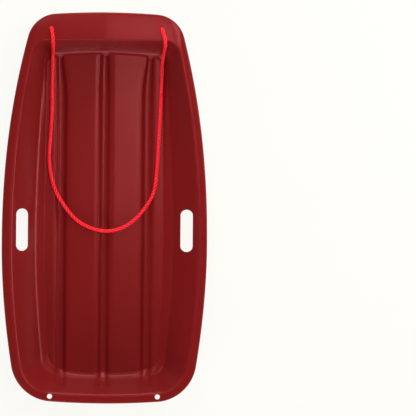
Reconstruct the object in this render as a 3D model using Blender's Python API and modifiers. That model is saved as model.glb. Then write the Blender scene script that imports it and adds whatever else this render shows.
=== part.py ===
"""Moulded plastic toboggan for one rider, with a rope tow line.

The tub is one thin moulding: a deck with three runners pressed into it, walls that
flare out of the deck, a rolled rim, a broad lip at the nose and a slot for each hand.
The tow rope passes through two holes in the lip and is knotted under them.

Metres, +Z up, nose towards +Y. The origin is on the snow, in the middle of the tub.
"""

import math
from collections import namedtuple

import bmesh
import bpy
import numpy as np
from mathutils import Matrix, Vector

# Plan of the tub
LENGTH = 0.9144
WIDTH = 0.4810
NOSE_WIDTH = 0.3330
TAIL_WIDTH = 0.4010
WIDEST_Y = -0.0880
NOSE_TAPER = 2.20
TAIL_TAPER = 1.87
NOSE_CORNER = 0.0710
TAIL_CORNER = 0.0990
NOSE_BOW_RADIUS = 1.700
TAIL_BOW_RADIUS = 1.800

# Rim and nose lip
RIM_WIDTH = 0.0200
LIP_DEPTH = 0.0655
LIP_CORNER = 0.0330
CREST_TAIL_CORNER = 0.0800
SKIRT_DEPTH = 0.0150
RIM_FALL = 0.0080
LIP_FALL = 0.0020
LIP_CROWN = 0.0030
LIP_CROWN_POWER = 4
ROLL_RADIUS = 0.0060
CREST_RADIUS = 0.0100
LIP_CREST_RADIUS = 0.0040

# Heights above the snow, before the crest is rounded
MID_HEIGHT = 0.0900
NOSE_HEIGHT = 0.1080
TAIL_HEIGHT = 0.0980
SHEER_POWER = 2.0

# Deck and walls
WALL = 0.0025
FLOOR_WIDTH = 0.2820
FLOOR_NOSE_WIDTH = 0.2720
FLOOR_TAIL_WIDTH = 0.2500
FLOOR_TAPER = 2.0
NOSE_WALL_RUN = 0.0255
TAIL_WALL_RUN = 0.0430
FLOOR_NOSE_CORNER = 0.0220
FLOOR_TAIL_CORNER = 0.0420
FLOOR_NOSE_RADIUS = 0.820
FLOOR_TAIL_RADIUS = 0.730
FLARE_WIDTH = 0.0200
FLARE_RISE = 0.0085
FLARE_RADIUS = 0.0350
END_FLARE_WIDTH = 0.0080
END_FLARE_RISE = 0.0100
END_FLARE_RADIUS = 0.0200
FLOOR_RADIUS = 0.0110
FILLET_LIMIT = 0.45
DECK_CROWN = 0.0015
DECK_SIDE_MARGIN = 0.0040
DECK_NOSE_MARGIN = 0.0440
DECK_TAIL_MARGIN = 0.0210

# Runners pressed into the deck
RUNNER_SPACING = 0.1010
RUNNER_WIDTH = 0.0310
RUNNER_FLAT = 0.0080
RUNNER_DEPTH = 0.0080
RUNNER_TAPER_LENGTH = 0.1100
MID_RUNNER_NOSE_WIDTH = 0.0250
SIDE_RUNNER_NOSE_WIDTH = 0.0200
NOSE_FADE = 0.30
TAIL_FADE = 0.60

# Hand slots, rope holes and rear holes
SLOT_LENGTH = 0.0990
SLOT_WIDTH = 0.0275
SLOT_X = 0.1930
SLOT_Y = -0.0520
HOLE_DIAMETER = 0.0120
ROPE_HOLE_X = 0.1290
ROPE_HOLE_Y = 0.4187
REAR_HOLE_X = 0.1260
REAR_HOLE_INSET = 0.0165

# Tow rope, its stopper knots and the short ends below them
ROPE_DIAMETER = 0.0080
KNOT_DIAMETER = 0.0220
KNOT_HEIGHT = 0.0180
KNOT_ROUNDING = 0.0050
ROPE_END_LENGTH = 0.0240
ROPE_END_LEAN = (0.10, 0.05)
FIT = 0.0003

# Route of the rope's middle line from the left hole to the right one
ROPE_ROUTE = [
    (-0.1281, 0.4195, 0.1060),
    (-0.1270, 0.4112, 0.1117),
    (-0.1252, 0.4013, 0.1135),
    (-0.1245, 0.3919, 0.1106),
    (-0.1242, 0.3851, 0.1033),
    (-0.1240, 0.3816, 0.0911),
    (-0.1236, 0.3750, 0.0669),
    (-0.1236, 0.3675, 0.0413),
    (-0.1236, 0.3575, 0.0222),
    (-0.1236, 0.3420, 0.0157),
    (-0.1240, 0.3200, 0.0149),
    (-0.1245, 0.2800, 0.0149),
    (-0.1243, 0.2350, 0.0149),
    (-0.1268, 0.1800, 0.0149),
    (-0.1304, 0.1250, 0.0149),
    (-0.1272, 0.0856, 0.0149),
    (-0.1168, 0.0450, 0.0149),
    (-0.0953, 0.0070, 0.0149),
    (-0.0674, -0.0263, 0.0155),
    (-0.0335, -0.0461, 0.0161),
    (0.0050, -0.0541, 0.0165),
    (0.0408, -0.0470, 0.0160),
    (0.0726, -0.0259, 0.0153),
    (0.0997, 0.0060, 0.0149),
    (0.1172, 0.0398, 0.0149),
    (0.1235, 0.0850, 0.0149),
    (0.1271, 0.1500, 0.0149),
    (0.1306, 0.2250, 0.0149),
    (0.1334, 0.2950, 0.0149),
    (0.1341, 0.3180, 0.0153),
    (0.1350, 0.3390, 0.0170),
    (0.1361, 0.3550, 0.0230),
    (0.1370, 0.3656, 0.0413),
    (0.1377, 0.3723, 0.0669),
    (0.1380, 0.3784, 0.0911),
    (0.1380, 0.3822, 0.1033),
    (0.1375, 0.3893, 0.1106),
    (0.1359, 0.3994, 0.1135),
    (0.1323, 0.4107, 0.1118),
    (0.1300, 0.4195, 0.1060),
]

# How finely the outlines, the moulding and the rope are divided
END_POINTS = 16
CORNER_POINTS = 40
SIDE_POINTS = 40
TANGENT_ROUNDS = 30
TANGENT_NUDGE = 0.0005
ROLL_STEPS = 1
CREST_STEPS = 2
WALL_STEPS = 2
FLARE_STEPS = 1
FLOOR_STEPS = 1
DECK_RINGS = 2
DECK_ROWS = 13
PANEL_STEPS = 2
FLANK_STEPS = 3
CORNER_PULL = 0.030
SLOT_END_STEPS = 6
KNOT_STEPS = 3
ROPE_STEPS = 2
ROUND_SIDES = 20

# Colours, as linear red, green and blue, and how rough each surface is
SHELL_RED = (0.190, 0.011, 0.012)
SHELL_ROUGHNESS = 0.22
ROPE_RED = (0.800, 0.004, 0.014)
ROPE_ROUGHNESS = 0.55

# Places that follow from the sizes above
NOSE_Y = LENGTH / 2
TAIL_Y = -LENGTH / 2
FLOOR_Z = RUNNER_DEPTH + WALL
FLOOR_NOSE_Y = NOSE_Y - LIP_DEPTH - NOSE_WALL_RUN
FLOOR_TAIL_Y = TAIL_Y + RIM_WIDTH + TAIL_WALL_RUN
SIDE_WALL_RUN = (WIDTH - FLOOR_WIDTH) / 2 - RIM_WIDTH
DECK_HALF = RUNNER_SPACING + RUNNER_WIDTH / 2 + DECK_SIDE_MARGIN
DECK_NOSE_Y = FLOOR_NOSE_Y - FLOOR_NOSE_CORNER - DECK_NOSE_MARGIN
DECK_TAIL_Y = FLOOR_TAIL_Y + FLOOR_TAIL_CORNER + DECK_TAIL_MARGIN

Outline = namedtuple("Outline", "half_width nose tail nose_bend tail_bend nose_corner tail_corner")


def mix(first, second, share):
    """Value that lies the given share of the way from first to second."""
    return first + (second - first) * share


def ease(share):
    """Smooth step from 0 to 1."""
    share = min(max(share, 0.0), 1.0)
    return share * share * (3.0 - 2.0 * share)


def barrel(y, widths, ends, powers):
    """Half-width of an outline that is widest at WIDEST_Y and narrows to its two ends."""
    mid, nose, tail = widths
    if y > WIDEST_Y:
        share = (y - WIDEST_Y) / (ends[0] - WIDEST_Y)
        return mix(mid, nose, share ** powers[0]) / 2
    share = (WIDEST_Y - y) / (WIDEST_Y - ends[1])
    return mix(mid, tail, share ** powers[1]) / 2


def edge_half_width(y):
    """Half-width of the tub over its rim."""
    return barrel(y, (WIDTH, NOSE_WIDTH, TAIL_WIDTH), (NOSE_Y, TAIL_Y), (NOSE_TAPER, TAIL_TAPER))


def crest_half_width(y):
    """Half-width at the highest line of the rim."""
    return edge_half_width(y) - RIM_WIDTH


def floor_half_width(y):
    """Half-width of the floor at the foot of the walls."""
    widths = (FLOOR_WIDTH, FLOOR_NOSE_WIDTH, FLOOR_TAIL_WIDTH)
    return barrel(y, widths, (FLOOR_NOSE_Y, FLOOR_TAIL_Y), (FLOOR_TAPER, FLOOR_TAPER))


def deck_half_width(_y):
    """Half-width of the straight part of the floor that holds the runners."""
    return DECK_HALF


def deck_rise(x):
    """How much the deck stands over the floor: it climbs from each side runner to the middle."""
    foot = RUNNER_SPACING - RUNNER_WIDTH / 2
    return DECK_CROWN * min(max((foot - abs(x)) / (foot - RUNNER_WIDTH / 2), 0.0), 1.0)


def crest_height(y):
    """Height of the rim, which rises from the widest place to both ends."""
    if y > WIDEST_Y:
        share = (y - WIDEST_Y) / (NOSE_Y - WIDEST_Y)
        return mix(MID_HEIGHT, NOSE_HEIGHT, share ** SHEER_POWER)
    share = (WIDEST_Y - y) / (WIDEST_Y - TAIL_Y)
    return mix(MID_HEIGHT, TAIL_HEIGHT, share ** SHEER_POWER)


def lip_crown(x):
    """How much the middle crease of the nose lip stands over its sides."""
    return LIP_CROWN * max(0.0, 1.0 - 2.0 * abs(x) / NOSE_WIDTH)


def lip_height(x, y):
    """Height of the nose lip's upper face."""
    inset = NOSE_Y - y - x * x / (2.0 * NOSE_BOW_RADIUS)
    return crest_height(y) + lip_crown(x) - LIP_FALL * (1.0 - inset / LIP_DEPTH)


# The four outlines that the moulding runs through, from the outside in
OUTLINES = [
    Outline(edge_half_width, NOSE_Y, TAIL_Y,
            1.0 / NOSE_BOW_RADIUS, 1.0 / TAIL_BOW_RADIUS, NOSE_CORNER, TAIL_CORNER),
    Outline(crest_half_width, NOSE_Y - LIP_DEPTH, TAIL_Y + RIM_WIDTH,
            0.0, 1.0 / TAIL_BOW_RADIUS, LIP_CORNER, CREST_TAIL_CORNER),
    Outline(floor_half_width, FLOOR_NOSE_Y, FLOOR_TAIL_Y,
            1.0 / FLOOR_NOSE_RADIUS, 1.0 / FLOOR_TAIL_RADIUS, FLOOR_NOSE_CORNER, FLOOR_TAIL_CORNER),
    Outline(deck_half_width, DECK_NOSE_Y, DECK_TAIL_Y, 0.0, 0.0, 0.0, 0.0),
]


def between_outlines(name, place):
    """One value of the outline at a place between two of the four."""
    outer = min(int(place), len(OUTLINES) - 2)
    return mix(getattr(OUTLINES[outer], name), getattr(OUTLINES[outer + 1], name), place - outer)


def half_width_at(place, y):
    """Half-width of the outline at a place between two of the four."""
    outer = min(int(place), len(OUTLINES) - 2)
    widths = [outline.half_width(y) for outline in OUTLINES[outer:outer + 2]]
    return mix(widths[0], widths[1], place - outer)


def rounded(points, radii, arc_steps, leg_steps):
    """Open outline with round inner corners, divided into steps along its arcs and legs."""
    arcs = [[Vector(points[0])]]
    for index, (radius, count) in enumerate(zip(radii, arc_steps), start=1):
        before, corner, after = (Vector(point) for point in points[index - 1:index + 2])
        back = before - corner
        ahead = after - corner
        turn = math.pi - back.angle(ahead)
        room = FILLET_LIMIT * min(back.length, ahead.length)
        reach = min(radius * math.tan(turn / 2), room)
        start = corner + back.normalized() * reach
        end = corner + ahead.normalized() * reach
        shares = [step / count for step in range(count + 1)]
        arcs.append([start.lerp(corner, s).lerp(corner.lerp(end, s), s) for s in shares])
    arcs.append([Vector(points[-1])])
    path = []
    for arc, following, count in zip(arcs, arcs[1:], leg_steps):
        path += arc
        path += [arc[-1].lerp(following[0], step / count) for step in range(1, count)]
    return path + arcs[-1]


def section(rim, wall_run, deck_run, fall, flare, crest_radius, top):
    """Cross-section of the moulding, as pairs of its place between the outlines and its rise.

    A place is 0 at the edge, 1 at the crest, 2 at the foot of the wall and 3 at the deck.
    A rise is 0 at the height of the floor and 1 at the height of the crest.
    """
    height = top - FLOOR_Z
    flare_width, flare_rise, flare_radius = flare
    foot = rim + wall_run
    points = [
        (0.0, height - SKIRT_DEPTH),
        (0.0, height - fall),
        (rim, height),
        (foot - flare_width, flare_rise),
        (foot, 0.0),
        (foot + deck_run, 0.0),
    ]
    radii = (ROLL_RADIUS, crest_radius, flare_radius, FLOOR_RADIUS)
    arc_steps = (ROLL_STEPS, CREST_STEPS, FLARE_STEPS, FLOOR_STEPS)
    leg_steps = (1, 1, WALL_STEPS, 1, DECK_RINGS)
    stations = (0.0, rim, foot, foot + deck_run)
    path = rounded(points, radii, arc_steps, leg_steps)
    return [(float(np.interp(point.x, stations, range(4))), point.y / height) for point in path]


END_FLARE = (END_FLARE_WIDTH, END_FLARE_RISE, END_FLARE_RADIUS)
SIDE_SECTION = section(RIM_WIDTH, SIDE_WALL_RUN, FLOOR_WIDTH / 2 - DECK_HALF, RIM_FALL,
                       (FLARE_WIDTH, FLARE_RISE, FLARE_RADIUS), CREST_RADIUS, MID_HEIGHT)
END_SECTIONS = {
    "nose": section(LIP_DEPTH, NOSE_WALL_RUN, FLOOR_NOSE_Y - DECK_NOSE_Y, LIP_FALL,
                    END_FLARE, LIP_CREST_RADIUS, NOSE_HEIGHT),
    "tail": section(RIM_WIDTH, TAIL_WALL_RUN, DECK_TAIL_Y - FLOOR_TAIL_Y, RIM_FALL,
                    END_FLARE, CREST_RADIUS, TAIL_HEIGHT),
}
RINGS = len(SIDE_SECTION) - 1


def quarter(ring, end):
    """Right half of one end of a ring: a shallow arc, a round corner and the barrel side.

    The points run from the middle of the end to the widest place.
    """
    side_place = SIDE_SECTION[ring][0]
    end_place = END_SECTIONS[end][ring][0]
    radius = between_outlines(end + "_corner", (side_place + end_place) / 2)
    end_y = between_outlines(end, end_place)
    bend = between_outlines(end + "_bend", end_place)
    sense = 1.0 if end == "nose" else -1.0
    nudge = sense * TANGENT_NUDGE
    side_y = end_y - sense * radius
    end_x = half_width_at(side_place, end_y) - radius
    for _ in range(TANGENT_ROUNDS):
        behind = half_width_at(side_place, side_y - nudge)
        spread = behind - half_width_at(side_place, side_y + nudge)
        inward_side = Vector((-2.0 * TANGENT_NUDGE, -spread)).normalized()
        inward_end = Vector((-bend * end_x, -1.0)).normalized()
        centre_x = half_width_at(side_place, side_y) + radius * inward_side.x
        centre_y = end_y - sense * bend * end_x ** 2 / 2 + sense * radius * inward_end.y
        side_y = centre_y - sense * radius * inward_side.y
        end_x = centre_x - radius * inward_end.x
    points = [(x, end_y - sense * bend * x * x / 2) for x in np.linspace(0.0, end_x, END_POINTS)]
    first = math.atan2(-inward_end.y, -inward_end.x)
    last = math.atan2(-inward_side.y, -inward_side.x)
    for angle in np.linspace(first, last, CORNER_POINTS)[1:-1]:
        points.append((centre_x + radius * math.cos(angle),
                       centre_y + sense * radius * math.sin(angle)))
    side_ys = np.linspace(side_y, WIDEST_Y, SIDE_POINTS)
    points += [(half_width_at(side_place, y), y) for y in side_ys]
    return np.array(points)


def runner_half_width(runner, y):
    """Half-width of a runner, which narrows towards the nose."""
    nose_width = SIDE_RUNNER_NOSE_WIDTH if runner else MID_RUNNER_NOSE_WIDTH
    share = ease((y - FLOOR_NOSE_Y + RUNNER_TAPER_LENGTH) / RUNNER_TAPER_LENGTH)
    return mix(RUNNER_WIDTH, nose_width, share) / 2


def runner_centre(runner, y):
    """Middle line of a runner, whose outer edge stays straight where it narrows."""
    return runner * (RUNNER_SPACING + RUNNER_WIDTH / 2 - runner_half_width(runner, y))


def flank_places():
    """Places across a runner, from -1 at its left edge to 1 at its right edge."""
    flat = RUNNER_FLAT / RUNNER_WIDTH
    right = [mix(flat, 1.0, step / FLANK_STEPS) for step in range(FLANK_STEPS + 1)]
    return [-place for place in reversed(right)] + [0.0] + right


def column_depths():
    """How deep each column of the deck is pressed, so that all three runners end level."""
    flat = RUNNER_FLAT / RUNNER_WIDTH
    shares = [1.0 - ease((abs(place) - flat) / (1.0 - flat)) for place in flank_places()]
    outer = [RUNNER_DEPTH * share for share in shares]
    middle = [(RUNNER_DEPTH + DECK_CROWN) * share for share in shares]
    panel = [0.0] * (PANEL_STEPS - 1)
    return [0.0] + outer + panel + middle + panel + outer + [0.0]


def column_xs(y):
    """X of each column of the deck at a place along the tub."""
    columns = [-DECK_HALF]
    for runner in (-1, 0, 1):
        half = runner_half_width(runner, y)
        middle = runner_centre(runner, y) if runner else 0.0
        if runner > -1:
            start = columns[-1]
            gap = middle - half - start
            columns += [start + gap * step / PANEL_STEPS for step in range(1, PANEL_STEPS)]
        columns += [middle + half * place for place in flank_places()]
    return columns + [DECK_HALF]


def corner_point(points, share):
    """Point a share of the way round a corner, from the deck's last column to its last row.

    Bends draw the points together, so that a corner has as many as it needs.
    """
    steps = np.diff(points, axis=0)
    headings = np.unwrap(np.arctan2(steps[:, 1], steps[:, 0]))
    turns = np.abs(np.diff(headings, prepend=headings[0]))
    travel = np.concatenate(([0.0], np.cumsum(np.hypot(*steps.T) + CORNER_PULL * turns)))
    deck_y = DECK_NOSE_Y if points[0][1] > 0.0 else DECK_TAIL_Y
    sense = 1.0 if points[0][1] > 0.0 else -1.0
    start = np.interp(DECK_HALF, points[:, 0], travel)
    end = np.interp(-sense * deck_y, -sense * points[:, 1], travel)
    place = mix(start, end, share)
    return np.interp(place, travel, points[:, 0]), np.interp(place, travel, points[:, 1])


def shell_grid():
    """Upper face of the moulding as a grid, with each vertex paired with its runner depth.

    The grid's border is the skirt, and each ring of cells inside it is one step of the
    cross-section. The cells inside the last ring are the deck.
    """
    depths = column_depths()
    columns = len(depths) - 1 + 2 * RINGS
    rows = DECK_ROWS + 2 * RINGS
    quarters = {(ring, end): quarter(ring, end) for ring in range(RINGS) for end in END_SECTIONS}
    mesh = bmesh.new()
    bmesh.ops.create_grid(mesh, x_segments=columns, y_segments=rows, size=1.0)
    hollows = []
    for vertex in mesh.verts:
        column = round((vertex.co.x + 1.0) / 2.0 * columns)
        row = round((vertex.co.y + 1.0) / 2.0 * rows)
        across = min(column, columns - column)
        along = min(row, rows - row)
        ring = min(across, along)
        side = 1.0 if column > columns / 2 else -1.0
        end = "nose" if row > rows / 2 else "tail"
        deck_y = mix(DECK_TAIL_Y, DECK_NOSE_Y, (row - RINGS) / DECK_ROWS)
        if ring >= RINGS:
            x = column_xs(deck_y)[column - RINGS]
            vertex.co = (x, deck_y, FLOOR_Z + deck_rise(x))
            hollows.append((vertex, depths[column - RINGS]))
            continue
        points = quarters[ring, end]
        depth = 0.0
        if across >= RINGS:
            x = column_xs(points[0][1])[column - RINGS]
            y = float(np.interp(abs(x), points[:, 0], points[:, 1]))
            share = 0.0
            depth = depths[column - RINGS]
        elif along >= RINGS:
            y = deck_y
            x = side * half_width_at(SIDE_SECTION[ring][0], y)
            share = 1.0
        else:
            steps = 2.0 * (RINGS - ring)
            share = (RINGS - across) / steps if along == ring else 1.0 - (RINGS - along) / steps
            x, y = corner_point(points, share)
            x *= side
        end_place, end_rise = END_SECTIONS[end][ring]
        rise = mix(end_rise, SIDE_SECTION[ring][1], ease(share))
        z = mix(FLOOR_Z + deck_rise(x), crest_height(y), rise)
        if end == "nose":
            z += lip_crown(x) * max(rise, 0.0) ** LIP_CROWN_POWER * (1.0 - ease(share))
        vertex.co = (x, y, z)
        fade = NOSE_FADE if end == "nose" else TAIL_FADE
        if end_place > 1.0:
            hollows.append((vertex, depth * (1.0 - ease(rise / fade))))
    return mesh, hollows


def sink_runners(mesh, hollows):
    """Press the runners out of the face, square to it, so that they sweep up the end walls."""
    mesh.normal_update()
    moves = [(vertex, vertex.normal * depth) for vertex, depth in hollows]
    for vertex, move in moves:
        vertex.co -= move


def material(name, colour, roughness):
    """Plastic finish of one colour."""
    finish = bpy.data.materials.new(name)
    finish.use_nodes = True
    shader = finish.node_tree.nodes["Principled BSDF"]
    shader.inputs["Base Color"].default_value = (*colour, 1.0)
    shader.inputs["Roughness"].default_value = roughness
    shader.inputs["Metallic"].default_value = 0.0
    return finish


def add_object(name, data, collection, finish=None):
    """Put new mesh or curve data in the scene as a named object."""
    thing = bpy.data.objects.new(name, data)
    collection.objects.link(thing)
    if finish:
        data.materials.append(finish)
    return thing


def mesh_object(name, mesh, collection, finish=None):
    """Turn a finished bmesh into a named object."""
    data = bpy.data.meshes.new(name)
    mesh.to_mesh(data)
    mesh.free()
    return add_object(name, data, collection, finish)


def hide_cutter(cutter):
    """Keep a cutter out of the picture."""
    cutter.hide_render = True
    cutter.display_type = "WIRE"
    return cutter


def slot_cutter(side, collection):
    """Upright block with round ends, for one hand slot."""
    mesh = bmesh.new()
    bmesh.ops.create_cube(mesh, size=1.0)
    bmesh.ops.scale(mesh, vec=(SLOT_WIDTH, SLOT_LENGTH, 2.0 * NOSE_HEIGHT), verts=mesh.verts)
    upright = [edge for edge in mesh.edges if edge.verts[0].co.z * edge.verts[1].co.z < 0.0]
    bmesh.ops.bevel(mesh, geom=upright, offset=SLOT_WIDTH / 2 - FIT, segments=SLOT_END_STEPS,
                    profile=0.5, affect="EDGES")
    bmesh.ops.translate(mesh, vec=(side * SLOT_X, SLOT_Y, 0.0), verts=mesh.verts)
    return hide_cutter(mesh_object("slot_cutter", mesh, collection))


def hole_cutter(x, y, collection):
    """Upright pin for one round hole in the rim."""
    mesh = bmesh.new()
    bmesh.ops.create_cone(mesh, cap_ends=True, segments=ROUND_SIDES, radius1=HOLE_DIAMETER / 2,
                          radius2=HOLE_DIAMETER / 2, depth=NOSE_HEIGHT)
    bmesh.ops.translate(mesh, vec=(x, y, NOSE_HEIGHT), verts=mesh.verts)
    return hide_cutter(mesh_object("hole_cutter", mesh, collection))


def make_shell(parts, cutters, finish):
    """The moulded tub, with its slots and holes."""
    mesh, hollows = shell_grid()
    sink_runners(mesh, hollows)
    for face in mesh.faces:
        face.smooth = True
    shell = mesh_object("sled_shell", mesh, parts, finish)
    wall = shell.modifiers.new("wall", "SOLIDIFY")
    wall.thickness = WALL
    wall.offset = -1.0
    wall.use_even_offset = True
    wall.use_quality_normals = True
    tools = [slot_cutter(side, cutters) for side in (-1, 1)]
    rear_hole_y = TAIL_Y + REAR_HOLE_INSET
    for side in (-1, 1):
        tools.append(hole_cutter(side * ROPE_HOLE_X, ROPE_HOLE_Y, cutters))
        tools.append(hole_cutter(side * REAR_HOLE_X, rear_hole_y, cutters))
    for tool in tools:
        cut = shell.modifiers.new("cut", "BOOLEAN")
        cut.operation = "DIFFERENCE"
        cut.solver = "EXACT"
        cut.object = tool
    return shell


def smooth_route(points, steps):
    """Points of a smooth curve through a route, so many to each of its stretches."""
    route = [Vector(point) for point in points]
    route = [2.0 * route[0] - route[1]] + route + [2.0 * route[-1] - route[-2]]
    path = []
    for before, start, end, after in zip(route, route[1:], route[2:], route[3:]):
        for step in range(steps):
            t = step / steps
            path.append(0.5 * (2.0 * start + (end - before) * t
                               + (2.0 * before - 5.0 * start + 4.0 * end - after) * t ** 2
                               + (3.0 * start - before - 3.0 * end + after) * t ** 3))
    return path + [route[-2]]


def make_rope(name, path, parts, finish):
    """Round rope along a path."""
    curve = bpy.data.curves.new(name, "CURVE")
    curve.dimensions = "3D"
    curve.bevel_depth = ROPE_DIAMETER / 2
    curve.bevel_resolution = 2
    curve.use_fill_caps = True
    spline = curve.splines.new("POLY")
    spline.points.add(len(path) - 1)
    for point, place in zip(spline.points, path):
        point.co = (*place, 1.0)
    spline.use_smooth = True
    return add_object(name, curve, parts, finish)


def make_knot(name, side, parts, finish):
    """Stopper knot drawn up against the under side of the lip, with the rope's end below."""
    face_radius = KNOT_DIAMETER / 2 - KNOT_ROUNDING
    seat = min(lip_height(ROPE_HOLE_X, ROPE_HOLE_Y + shift) for shift in (-face_radius, face_radius))
    top = seat - WALL - FIT
    mesh = bmesh.new()
    bmesh.ops.create_cone(mesh, cap_ends=True, segments=ROUND_SIDES, radius1=KNOT_DIAMETER / 2,
                          radius2=KNOT_DIAMETER / 2, depth=KNOT_HEIGHT)
    rims = [edge for edge in mesh.edges if edge.verts[0].co.z * edge.verts[1].co.z > 0.0]
    bmesh.ops.bevel(mesh, geom=rims, offset=KNOT_ROUNDING, segments=KNOT_STEPS, profile=0.5,
                    affect="EDGES")
    middle = Matrix.Translation((side * ROPE_HOLE_X, ROPE_HOLE_Y, top - KNOT_HEIGHT / 2))
    bmesh.ops.transform(mesh, matrix=middle, verts=mesh.verts)
    for face in mesh.faces:
        face.smooth = True
    mesh_object(name + "_stopper_knot", mesh, parts, finish)
    bottom = Vector((side * ROPE_HOLE_X, ROPE_HOLE_Y, top - KNOT_HEIGHT - FIT))
    lean = Vector((side * ROPE_END_LEAN[0], ROPE_END_LEAN[1], -1.0)) * ROPE_END_LENGTH
    tail = [bottom, bottom + Vector((0.0, 0.0, lean.z / 4)), bottom + lean]
    make_rope(name + "_rope_end", smooth_route(tail, ROPE_STEPS), parts, finish)


def clear_scene():
    """Start from an empty scene."""
    for thing in list(bpy.data.objects):
        bpy.data.objects.remove(thing, do_unlink=True)


def new_collection(name):
    """Collection linked to the scene."""
    collection = bpy.data.collections.new(name)
    bpy.context.scene.collection.children.link(collection)
    return collection


def main():
    """Build the toboggan."""
    clear_scene()
    parts = new_collection("toboggan")
    cutters = new_collection("cutters")
    shell_finish = material("red_plastic", SHELL_RED, SHELL_ROUGHNESS)
    rope_finish = material("red_rope", ROPE_RED, ROPE_ROUGHNESS)
    make_shell(parts, cutters, shell_finish)
    make_rope("tow_rope", smooth_route(ROPE_ROUTE, ROPE_STEPS), parts, rope_finish)
    for name, side in (("left", -1), ("right", 1)):
        make_knot(name, side, parts, rope_finish)


main()
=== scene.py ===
"""Looks of a moulded plastic toboggan and its laid tow rope.

The tub is one glossy moulding with a rolled rim, a broad nose lip and three runners pressed
into its deck. The rope is three strands laid together, and it is knotted under the lip.
Metres, +Z up, nose towards +Y, standing on the floor at the origin.
"""

import logging
import math
from dataclasses import dataclass, field
from enum import Enum
from typing import Callable, Dict, List, Optional, Sequence, Tuple

import bmesh
import bpy
import numpy as np
from mathutils import Matrix, Vector


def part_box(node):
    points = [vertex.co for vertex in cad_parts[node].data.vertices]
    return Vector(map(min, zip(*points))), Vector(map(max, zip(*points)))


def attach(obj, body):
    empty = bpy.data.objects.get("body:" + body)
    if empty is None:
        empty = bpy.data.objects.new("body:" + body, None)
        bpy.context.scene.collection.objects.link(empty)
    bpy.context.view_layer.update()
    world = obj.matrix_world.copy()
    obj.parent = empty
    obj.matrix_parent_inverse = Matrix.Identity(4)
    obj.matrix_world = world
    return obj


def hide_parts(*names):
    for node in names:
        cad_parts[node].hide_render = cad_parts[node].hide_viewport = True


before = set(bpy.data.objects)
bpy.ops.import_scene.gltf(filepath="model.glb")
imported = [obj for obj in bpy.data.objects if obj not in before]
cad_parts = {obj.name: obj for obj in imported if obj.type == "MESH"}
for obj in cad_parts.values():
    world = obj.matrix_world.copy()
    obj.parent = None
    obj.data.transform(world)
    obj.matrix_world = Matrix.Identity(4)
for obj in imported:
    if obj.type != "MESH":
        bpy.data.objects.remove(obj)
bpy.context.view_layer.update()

LOG = logging.getLogger("toboggan")
BODY = "root"
MILLIMETRES = 1000.0

Pair = Tuple[float, float]
Triple = Tuple[float, float, float]
Colour = Triple
Place = Triple
Piece = bpy.types.Object
Material = bpy.types.Material
Socket = bpy.types.NodeSocket
Node = bpy.types.Node
Tree = bpy.types.NodeTree
Shape = bmesh.types.BMesh

RISING: Pair = (0.0, 1.0)
FALLING: Pair = (1.0, 0.0)

# Places between the outlines of the moulding, which are 0 at the edge and 3 at the deck
CREST = 1.0
FOOT = 2.0

# Route of the rope's middle line from the left hole to the right one
ROPE_ROUTE: List[Place] = [
    (-0.1281, 0.4195, 0.1060),
    (-0.1270, 0.4112, 0.1117),
    (-0.1252, 0.4013, 0.1135),
    (-0.1245, 0.3919, 0.1106),
    (-0.1242, 0.3851, 0.1033),
    (-0.1240, 0.3816, 0.0911),
    (-0.1236, 0.3750, 0.0669),
    (-0.1236, 0.3675, 0.0413),
    (-0.1236, 0.3575, 0.0222),
    (-0.1236, 0.3420, 0.0157),
    (-0.1240, 0.3200, 0.0149),
    (-0.1245, 0.2800, 0.0149),
    (-0.1243, 0.2350, 0.0149),
    (-0.1268, 0.1800, 0.0149),
    (-0.1304, 0.1250, 0.0149),
    (-0.1272, 0.0856, 0.0149),
    (-0.1168, 0.0450, 0.0149),
    (-0.0953, 0.0070, 0.0149),
    (-0.0674, -0.0263, 0.0155),
    (-0.0335, -0.0461, 0.0161),
    (0.0050, -0.0541, 0.0165),
    (0.0408, -0.0470, 0.0160),
    (0.0726, -0.0259, 0.0153),
    (0.0997, 0.0060, 0.0149),
    (0.1172, 0.0398, 0.0149),
    (0.1235, 0.0850, 0.0149),
    (0.1271, 0.1500, 0.0149),
    (0.1306, 0.2250, 0.0149),
    (0.1334, 0.2950, 0.0149),
    (0.1341, 0.3180, 0.0153),
    (0.1350, 0.3390, 0.0170),
    (0.1361, 0.3550, 0.0230),
    (0.1370, 0.3656, 0.0413),
    (0.1377, 0.3723, 0.0669),
    (0.1380, 0.3784, 0.0911),
    (0.1380, 0.3822, 0.1033),
    (0.1375, 0.3893, 0.1106),
    (0.1359, 0.3994, 0.1135),
    (0.1323, 0.4107, 0.1118),
    (0.1300, 0.4195, 0.1060),
]


class End(Enum):
    """The two ends of the tub, each with the sense of its Y direction."""

    NOSE = 1.0
    TAIL = -1.0


class Side(Enum):
    """The two sides of the tub, each with the sense of its X direction."""

    LEFT = -1.0
    RIGHT = 1.0


class Coordinate(Enum):
    """Coordinates that a finish is laid out in, by the name of their socket."""

    OBJECT = "Object"
    UV = "UV"


class Joining(Enum):
    """Ways to join two values, by the name of their node's operation."""

    ADD = "ADD"
    MULTIPLY = "MULTIPLY"
    MAXIMUM = "MAXIMUM"


def mix(first: float, second: float, share: float) -> float:
    """Value that lies the given share of the way from first to second."""
    return first + (second - first) * share


def ease(share: float) -> float:
    """Smooth step from 0 to 1."""
    share = min(max(share, 0.0), 1.0)
    return share * share * (3.0 - 2.0 * share)


def towards_ends(y: float, widest_y: float, ends: Pair, values: Triple, powers: Pair) -> float:
    """Value that changes from the widest place of the tub towards both ends.

    Args:
        y: The place along the tub.
        widest_y: The widest place.
        ends: Where the nose and the tail are.
        values: Value at the widest place, at the nose and at the tail.
        powers: How late the value changes, towards the nose and towards the tail.

    Returns:
        The value at the place.
    """
    end = 0 if y > widest_y else 1
    share = (y - widest_y) / (ends[end] - widest_y)
    return mix(values[0], values[1 + end], share ** powers[end])


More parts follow.
